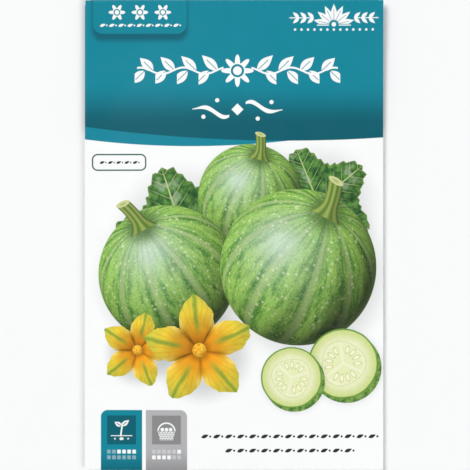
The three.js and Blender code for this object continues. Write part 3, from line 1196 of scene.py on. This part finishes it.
class SeedPacketInks(bpy.types.PropertyGroup):
    """The print's main colours."""

    paper: ink_colour("Paper", "The white of the paper and of the ornaments", ink(250, 252, 251))
    band: ink_colour("Band", "The header band and the sowing tab", ink(8, 134, 154))
    deep_band: ink_colour("Deep Band", "The band's darker foot", ink(0, 93, 108))
    pale_band: ink_colour("Pale Band", "The crescent under the band", ink(14, 134, 156))
    grey: ink_colour("Grey", "The harvest tab", ink(179, 179, 182))
    deep_grey: ink_colour("Deep Grey", "The harvest tab's picture ground and foot", ink(136, 136, 137))
    dark: ink_colour("Dark", "The borders of small leaves", ink(38, 48, 46))
    harvest: ink_colour("Harvest", "The harvest months on the back", ink(226, 150, 40))


class SEEDPACKET_OT_printed_sheet(bpy.types.Operator):
    """Make the printed, folded and filled sheet of the packet"""

    bl_idname = "seed_packet.printed_sheet"
    bl_label = "Printed Sheet"

    def execute(self, context):
        sizes = context.scene.seed_packet_sizes
        inks = context.scene.seed_packet_inks
        effects = {
            "fibres": effect_group("paper_fibres", ("Fibre Size",), ("Fine", "Clouds"), build_fibres),
            "wear": effect_group("fold_wear", ("Width",), ("Wear",), build_fold_wear),
        }
        drawings = {
            "globe": draw_globe,
            "leaf": draw_leaf,
            "blossom": draw_blossom,
            "cut_round": draw_cut_round,
            "vine": draw_vine,
            "divider": draw_divider,
            "palmette": draw_palmette,
            "sprout": draw_sprout,
            "basket": draw_basket,
            "sowing": months_drawing(3, 6),
            "harvest": months_drawing(6, 10),
            "dark_border": border_drawing(inks.dark),
            "white_border": border_drawing(inks.paper),
            "stage_seed": growth_drawing(0.0, 0, 0),
            "stage_shoot": growth_drawing(0.5, 1, 0),
            "stage_plant": growth_drawing(1.0, 3, 0),
            "stage_fruit": growth_drawing(1.25, 4, 2),
        }
        groups = {name: motif_group(name, draw, inks) for name, draw in drawings.items()}
        front = printed_front(groups, effects, inks)
        back = printed_back(groups, effects, inks)

        mesh = flat_sheet_mesh()
        for material in (front, back, plain_inside(effects)):
            mesh.materials.append(material)
        piece = linked("printed_sheet", mesh)
        values = {
            "Width": WIDTH * MM,
            "Height": HEIGHT * MM,
            "Random Seed": float(sizes.random_seed),
            "Front Material": front,
            "Back Material": back,
        }
        values.update({label: getattr(sizes, label.lower().replace(" ", "_")) for label in FILL_SIZES})
        add_tree(piece, fill_tree(), values)
        wall = piece.modifiers.new("paper_thickness", "SOLIDIFY")
        wall.thickness = sizes.paper_thickness
        wall.offset = -1.0
        wall.material_offset = 2
        wall.material_offset_rim = 2
        made_plain(piece)
        piece.data.polygons.foreach_set("use_smooth", [True] * len(piece.data.polygons))
        piece.data.set_sharp_from_angle(angle=math.radians(50))
        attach(piece, "root")
        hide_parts("folded_sheet")
        return {"FINISHED"}


def seed_pose(name):
    """A CAD seed's middle, and the turn of its pointed end about +Z."""
    low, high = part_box(name)
    middle = (low + high) / 2
    points = np.array([vertex.co[:2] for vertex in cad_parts[name].data.vertices])
    points = points - np.array(middle[:2])
    spread_of_points = np.linalg.eigh(points.T @ points)[1]
    axis = spread_of_points[:, 1]
    along = points @ axis
    beside = np.abs(points @ np.array([-axis[1], axis[0]]))
    far = 0.6 * np.abs(along).max()
    if beside[along > far].max() > beside[along < -far].max():
        axis = -axis
    return middle, math.atan2(axis[1], axis[0])


class SEEDPACKET_OT_loose_seeds(bpy.types.Operator):
    """Make the loose squash seeds inside the packet"""

    bl_idname = "seed_packet.loose_seeds"
    bl_label = "Loose Seeds"

    def execute(self, context):
        sizes = context.scene.seed_packet_sizes
        poses = [seed_pose(name) for name in SEED_NODES]
        mesh = bpy.data.meshes.new("loose_seeds")
        mesh.from_pydata([middle for middle, _ in poses], [], [])
        turns = mesh.attributes.new("turn", "FLOAT", "POINT")
        turns.data.foreach_set("value", [turn for _, turn in poses])
        material = dry_seed_coat()
        mesh.materials.append(material)
        piece = linked("loose_seeds", mesh)
        boxes = [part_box(name) for name in SEED_NODES]
        spans = [high - low for low, high in boxes]
        values = {
            "Seed Length": max(span.x for span in spans),
            "Seed Width": min(span.x for span in spans),
            "Seed Thickness": spans[0].z,
            "Size Change": sizes.seed_change,
            "Random Seed": sizes.random_seed,
            "Material": material,
        }
        add_tree(piece, seed_tree(), values)
        made_plain(piece)
        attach(piece, "root")
        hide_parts(*SEED_NODES)
        return {"FINISHED"}


# Half the floor's side and its drop below the packet, in metres, so that the two never share a plane.
FLOOR_HALF = 3.0
FLOOR_DROP = 0.05 * MM
# Each light's name, place, width in degrees and strength.
LIGHTS = (("key", (-0.9, 0.9, 1.4), 30.0, 2.02), ("fill", (1.1, -0.6, 1.3), 41.0, 1.32))
LENS = 140.0
SENSOR = 36.0
# The photograph's side, the packet's middle across it and the front's height on it, in pixels.
PHOTO_PIXELS = 470
MIDDLE_PIXEL_X = 234.0
FRONT_PIXELS = 471
# The height above the floor that the front's height is measured at.
MEASURED_HEIGHT = 3 * MM


def soft_light(name, place, degrees, strength):
    """A far light as wide as a softbox, which lights the whole floor evenly."""
    light = bpy.data.lights.new(name, "SUN")
    light.angle = math.radians(degrees)
    light.energy = strength
    lamp = linked(name, light)
    lamp.location = place
    lamp.rotation_euler = (-Vector(place)).to_track_quat("-Z", "Y").to_euler()


class SEEDPACKET_OT_stage(bpy.types.Operator):
    """Make the floor, the lights and the camera"""

    bl_idname = "seed_packet.stage"
    bl_label = "Stage"

    def execute(self, context):
        scene = context.scene
        sides = ((-1, -1), (1, -1), (1, 1), (-1, 1))
        corners = [(x * FLOOR_HALF, y * FLOOR_HALF, -FLOOR_DROP) for x, y in sides]
        mesh = bpy.data.meshes.new("floor")
        mesh.from_pydata(corners, [], [(0, 1, 2, 3)])
        mesh.materials.append(stage_material("pale_floor", ink(246, 247, 247), 0.7))
        floor_piece = linked("floor", mesh)

        for light in LIGHTS:
            soft_light(*light)
        world = bpy.data.worlds.new("soft_studio")
        scene.world = world
        world.use_nodes = True
        tree = world.node_tree
        direction = parts_of(tree, add_node(tree, "ShaderNodeTexCoord").outputs["Generated"])
        low = 1 - most(direction[2], 0.0)
        feed(tree, low * low * 0.7 + 0.14, tree.nodes["Background"].inputs["Strength"])
        tree.nodes["Background"].inputs["Color"].default_value = (1.0, 1.0, 1.0, 1.0)
        scene.view_settings.view_transform = "Standard"
        scene.view_settings.look = "None"

        metres_per_pixel = HEIGHT * MM / FRONT_PIXELS
        data = bpy.data.cameras.new("photo_camera")
        data.lens = LENS
        data.sensor_width = SENSOR
        camera = linked("photo_camera", data)
        distance_up = metres_per_pixel * PHOTO_PIXELS * LENS / SENSOR
        aside = (PHOTO_PIXELS / 2 - MIDDLE_PIXEL_X) * metres_per_pixel
        camera.location = (aside, 0.0, MEASURED_HEIGHT + distance_up)
        scene.camera = camera
        return {"FINISHED"}


class SEEDPACKET_PT_pieces(bpy.types.Panel):
    """The packet's sizes and the operators that make its pieces"""

    bl_label = "Seed Packet"
    bl_idname = "SEEDPACKET_PT_pieces"
    bl_space_type = "VIEW_3D"
    bl_region_type = "UI"
    bl_category = "Seed Packet"

    def draw(self, context):
        for group in (context.scene.seed_packet_sizes, context.scene.seed_packet_inks):
            for name in group.bl_rna.properties.keys():
                if name not in ("rna_type", "name"):
                    self.layout.prop(group, name)
        for operator in OPERATORS:
            self.layout.operator(operator.bl_idname)


OPERATORS = (SEEDPACKET_OT_printed_sheet, SEEDPACKET_OT_loose_seeds, SEEDPACKET_OT_stage)
CLASSES = (SeedPacketSizes, SeedPacketInks, *OPERATORS, SEEDPACKET_PT_pieces)


def register():
    for item in CLASSES:
        bpy.utils.register_class(item)
    bpy.types.Scene.seed_packet_sizes = bpy.props.PointerProperty(type=SeedPacketSizes)
    bpy.types.Scene.seed_packet_inks = bpy.props.PointerProperty(type=SeedPacketInks)


def unregister():
    del bpy.types.Scene.seed_packet_inks
    del bpy.types.Scene.seed_packet_sizes
    for item in reversed(CLASSES):
        bpy.utils.unregister_class(item)


def main():
    register()
    bpy.ops.seed_packet.printed_sheet()
    bpy.ops.seed_packet.loose_seeds()
    bpy.ops.seed_packet.stage()


if __name__ == "__main__":
    main()
